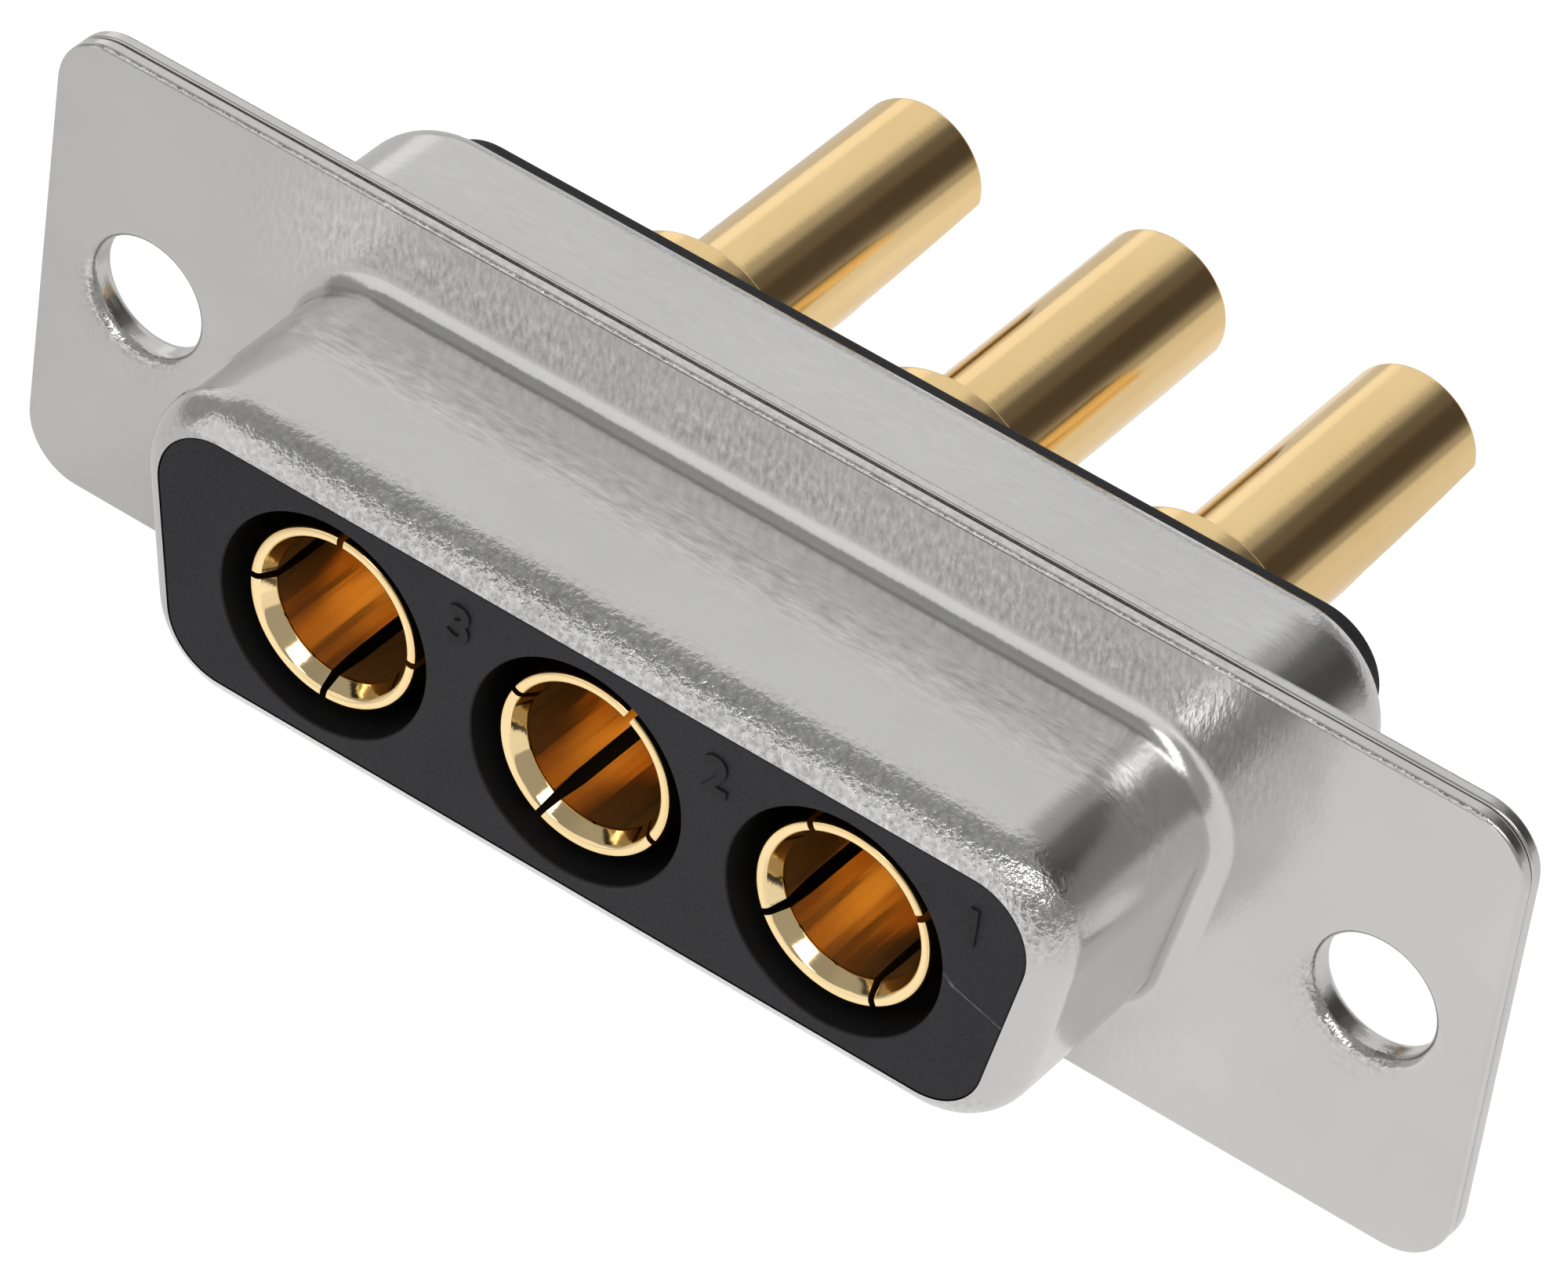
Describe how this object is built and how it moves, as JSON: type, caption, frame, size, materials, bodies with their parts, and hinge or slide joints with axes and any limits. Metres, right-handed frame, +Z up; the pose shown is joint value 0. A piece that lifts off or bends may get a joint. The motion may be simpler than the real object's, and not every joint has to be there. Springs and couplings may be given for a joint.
{
  "type": "combination d-sub connector",
  "caption": "Socket-side combination d-sub connector: two drawn metal shells around a black moulding that holds slotted power contacts with solder cups at the rear.",
  "frame": {"origin": "middle of the flange's front face, halfway between the two mounting holes", "axes": "+X to the right seen from the mating side, +Z up towards the wide side of the D, +Y to the rear; the mating face looks along -Y"},
  "size_m": [0.0392, 0.0224, 0.0126],
  "materials": {
    "shell": "satin tin plate",
    "moulding": "fine matte",
    "contact": "polished gold plate",
    "clip": "plain spring bronze"
  },
  "bodies": {
    "root": {"front_shell": "shell", "rear_shell": "shell", "insulator": "moulding", "contact_1": "contact", "contact_2": "contact", "contact_3": "contact", "retaining_clip_1": "clip", "retaining_clip_2": "clip", "retaining_clip_3": "clip"}
  },
  "joints": []
}
